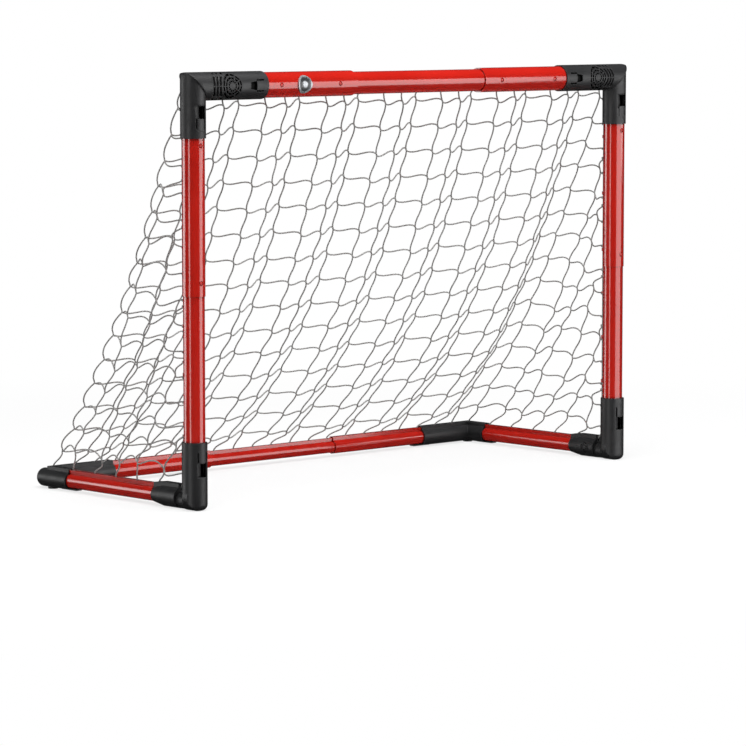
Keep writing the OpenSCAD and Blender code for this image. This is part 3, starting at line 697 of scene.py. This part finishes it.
class Side:
    """The side at x = s * HALF_W. Its column 0 is the fold, which it shares with the back, and
    the others follow towards the post. A column holds its knots by row, as far as they are
    behind the post."""

    def __init__(self, s):
        self.s = s
        self.out = np.array([s, 0.0, 0.0])
        fold = grid[0 if s < 0 else CELLS]
        count = int(DEPTH / side_step(LOW_Z))
        self.columns = [dict(enumerate(fold))] + [self.knots(j) for j in range(1, count + 1)]

    def knots(self, j):
        """The knots of column j."""
        column = {}
        for r in range(ROWS):
            z = row_z(r)
            y = fold_y(z) - j * side_step(z)
            if y < FRONT_Y + KNOT_GAP:
                continue
            share = (y - FRONT_Y) / (fold_y(z) - FRONT_Y)
            pleat = SIDE_PLEAT * (1 if j % 3 == 1 else -0.6)
            bulge = SIDE_BULGE * math.sin(math.pi * share) + pleat
            lift = SIDE_LIFT * math.sin(2.1 * j + 0.9 * r)
            knot = np.array([self.s * (HALF_W + bulge), y, z + lift])
            column[r] = knot + rng.normal(0.0, SIDE_JITTER, 3)
        return column

    def merge(self, j, r):
        """The merge at a knot, along the way its column falls."""
        column = self.columns[j]
        way = column.get(r + 1, column[r]) - column.get(r - 1, column[r])
        alone = np.linalg.norm(way) < 1e-6
        return merge_at(FORWARD, np.array([0.0, 0.3, -0.95]) if alone else unit(way))

    def row(self, r):
        """A string from the fold to the cord on the post."""
        js = [j for j, column in enumerate(self.columns) if r in column]
        nodes = [self.columns[j][r] for j in js]
        lean = [self.merge(j, r) for j in js]
        sag = (-0.22 if self.s < 0 else -0.10) + 0.06 * math.sin(1.7 * r)
        body = chain(nodes, lean, *SIDE_ROW_BEND, sag=sag)
        end = nodes[-1] + lean[-1] / 2
        hold = np.array([self.s * HALF_W, FRONT_Y, row_z(r) - HOLD_DROP])
        ring = wrapped(hold, (0.0, 0.0, -1.0), end)
        reach = 0.35 * np.linalg.norm(ring[0] - end)
        last = bezier(end, reach * unit(lean[-1]), reach * FORWARD, ring[0])
        return body + list(last)[(1 if body else 0):-1] + ring

    def upright(self, j):
        """A string from the crossbar's or the post's cord down to the one on the side tube."""
        nodes = list(self.columns[j].values())
        lean = [self.merge(j, r) for r in self.columns[j]]
        spans = len(nodes) - 1
        x = self.s * HALF_W
        start = nodes[0] - lean[0] / 2
        if j == 0:
            body = chain(nodes, lean, *FOLD_BEND)
            body = slackened(body, spans, 0.0022, 0.0032, self.out - 0.4 * FORWARD)
            ring = wrapped(np.array([x, FRONT_Y, TOP_Z]), ACROSS, start)
        else:
            body = chain(nodes, lean, *SIDE_UPRIGHT_BEND)
            if body:
                body = slackened(body, spans, 0.0015, 0.0, self.out)
            top = np.array([x, FRONT_Y, nodes[0][2] + 0.45 * ROW_STEP])
            ring = wrapped(top, (0.0, 0.0, 1.0), start)
        rise = bezier(ring[0], 0.3 * (start - ring[0]), 0.008 * unit(lean[0]), start)
        y = max(fold_y(LOW_Z) - j * side_step(LOW_Z), FRONT_Y + FOOT_GAP)
        end = nodes[-1] + lean[-1] / 2
        inward = np.array([-self.s * 0.002, 0.0, -0.010])
        land = bezier(end, 0.010 * unit(lean[-1]), inward, np.array([x, y, LOW_Z]))
        return ring[::-1] + list(rise)[1:-1] + body + list(land)[(1 if body else 0):]

    def strings(self):
        """All the strings of the side."""
        uprights = [self.upright(j) for j, column in enumerate(self.columns) if column]
        return [self.row(r) for r in range(ROWS)] + uprights


for s, label in ((-1, "left"), (1, "right")):
    side = string_piece(f"net_{label}_side_strings", Side(s).strings())
    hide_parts(f"net_{label}_side")


# ---------- border cord ----------

CORD_STEPS = 24
# Foot of the cord's run up the post, and front end of its run along the side tube
BEND_Z = FOOT_LOW_Z + 0.0318
BEND_Y = FRONT_Y + 0.008


def cord_half(s):
    """Corners of the cord from the middle of the rear tube to the middle of the crossbar."""
    x = s * HALF_W
    return [(0.0, REAR_Y, LOW_Z), (x, REAR_Y, LOW_Z), (x, BEND_Y, LOW_Z), (x, FRONT_Y, BEND_Z),
            (x, FRONT_Y, TOP_Z), (0.0, FRONT_Y, TOP_Z)]


def cord_line(corners):
    """Points along straight runs, close enough for the twist to show evenly."""
    corners = [np.array(corner) for corner in corners]
    line = []
    for a, b in zip(corners[:-1], corners[1:]):
        line += [a + (b - a) * i / CORD_STEPS for i in range(CORD_STEPS)]
    return line + corners[-1:]


cord_loop = cord_line(cord_half(-1) + cord_half(1)[::-1][1:])
cord = string_piece("net_border_cord_rope", [cord_loop], CORD_R)
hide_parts("net_border_cord")


# ---------- floor, lights and camera ----------

# Strength of the sky in soft light and in the gloss
SKY_SOFT = 0.13
SKY_GLOSS = 0.04
SKY_TINT = (0.96, 0.98, 1.0, 1.0)
WHITE = (1.0, 1.0, 1.0, 1.0)

# The camera's bearing from the goal in degrees, its distance and lens, and the point it aims at
AZIMUTH = -42.98
ELEVATION = 5.82
DISTANCE = 4.5
LENS_MM = 181.5
AIM = Vector((0.0, POST_Y + 0.0716, 0.1261))


def floor():
    """A floor that doesn't show in the tubes' gloss and casts no shadow."""
    bpy.ops.mesh.primitive_plane_add(size=60.0, location=(0.0, 0.0, 0.0))
    plane = bpy.context.object
    plane.name = "floor"
    plane.data.materials.append(floor_material())
    plane.visible_glossy = False
    plane.visible_shadow = False


def area_light(name, place, aim, size, power):
    """A rectangular light that the camera doesn't see."""
    data = bpy.data.lights.new(name, "AREA")
    data.shape = "RECTANGLE"
    data.size, data.size_y = size
    data.energy = power
    light = bpy.data.objects.new(name, data)
    light.location = place
    light.rotation_mode = "QUATERNION"
    light.rotation_quaternion = (Vector(aim) - Vector(place)).to_track_quat("-Z", "Y")
    light.visible_camera = False
    bpy.context.scene.collection.objects.link(light)
    return light


def sheen_panel(name, place, facing, size, radiance):
    """An upright panel that only shows in the gloss. Place is from the ground below the middle of
    the crossbar, and facing is the way it looks, in degrees, where 0 is +X and 90 is +Y."""
    spot = Vector((0.0, POST_Y, 0.0)) + Vector(place)
    turn = math.radians(facing)
    aim = spot + Vector((math.cos(turn), math.sin(turn), 0.0))
    light = area_light(name, spot, aim, size, radiance * math.pi * size[0] * size[1])
    light.visible_diffuse = False


def world_light():
    """White behind the goal for the camera, grey for soft light, and nearly dark in the gloss."""
    world = bpy.data.worlds.new("studio")
    world.use_nodes = True
    tree = world.node_tree
    seen = tree.nodes["Background"]
    seen.inputs["Color"].default_value = WHITE
    path = tree.nodes.new("ShaderNodeLightPath")

    def sky(strength):
        node = tree.nodes.new("ShaderNodeBackground")
        node.inputs["Color"].default_value = SKY_TINT
        node.inputs["Strength"].default_value = strength
        return node.outputs["Background"]

    def choose(ray, a, b):
        mix = tree.nodes.new("ShaderNodeMixShader")
        tree.links.new(path.outputs[ray], mix.inputs["Fac"])
        tree.links.new(a, mix.inputs[1])
        tree.links.new(b, mix.inputs[2])
        return mix.outputs["Shader"]

    lit = choose("Is Glossy Ray", sky(SKY_SOFT), sky(SKY_GLOSS))
    out = choose("Is Camera Ray", lit, seen.outputs["Background"])
    tree.links.new(out, tree.nodes["World Output"].inputs["Surface"])
    bpy.context.scene.world = world


def studio():
    """A wide soft box above, a weaker one in front, and five panels for the bands on the tubes."""
    world_light()
    aim = Vector((0.0, POST_Y, TOP_Z / 2))
    area_light("top_box", aim + Vector((-0.3, -0.7, 2.6)), aim, (3.0, 2.4), 132.0)
    front = area_light("front_box", aim + Vector((0.9, -2.6, 0.9)), aim, (2.4, 2.0), 4.0)
    front.visible_glossy = False
    sheen_panel("left_panel", (-3.98, -0.42, 0.0), 6.0, (0.75, 4.4), 4.4)
    sheen_panel("back_left_panel", (-1.94, 3.50, 0.0), 299.0, (1.20, 1.1), 4.2)
    sheen_panel("low_back_panel", (-2.83, 2.83, 0.56), 315.0, (0.80, 1.7), 4.4)
    sheen_panel("right_panel", (0.72, -1.05, 0.34), 90.0, (1.32, 1.18), 3.2)
    sheen_panel("far_right_panel", (1.88, -1.05, 0.43), 90.0, (0.86, 0.32), 5.0)
    bpy.context.scene.view_settings.view_transform = "Standard"


def camera():
    """The camera looks at the goal from the front left, a little above the crossbar."""
    azimuth, elevation = math.radians(AZIMUTH), math.radians(ELEVATION)
    level = math.cos(elevation)
    back = Vector((math.sin(azimuth) * level, -math.cos(azimuth) * level, math.sin(elevation)))
    data = bpy.data.cameras.new("camera")
    data.lens = LENS_MM
    data.sensor_width = 36.0
    data.clip_end = 100.0
    obj = bpy.data.objects.new("camera", data)
    obj.location = AIM + back * DISTANCE
    obj.rotation_mode = "QUATERNION"
    obj.rotation_quaternion = back.to_track_quat("Z", "Y")
    bpy.context.scene.collection.objects.link(obj)
    bpy.context.scene.camera = obj


floor()
studio()
camera()
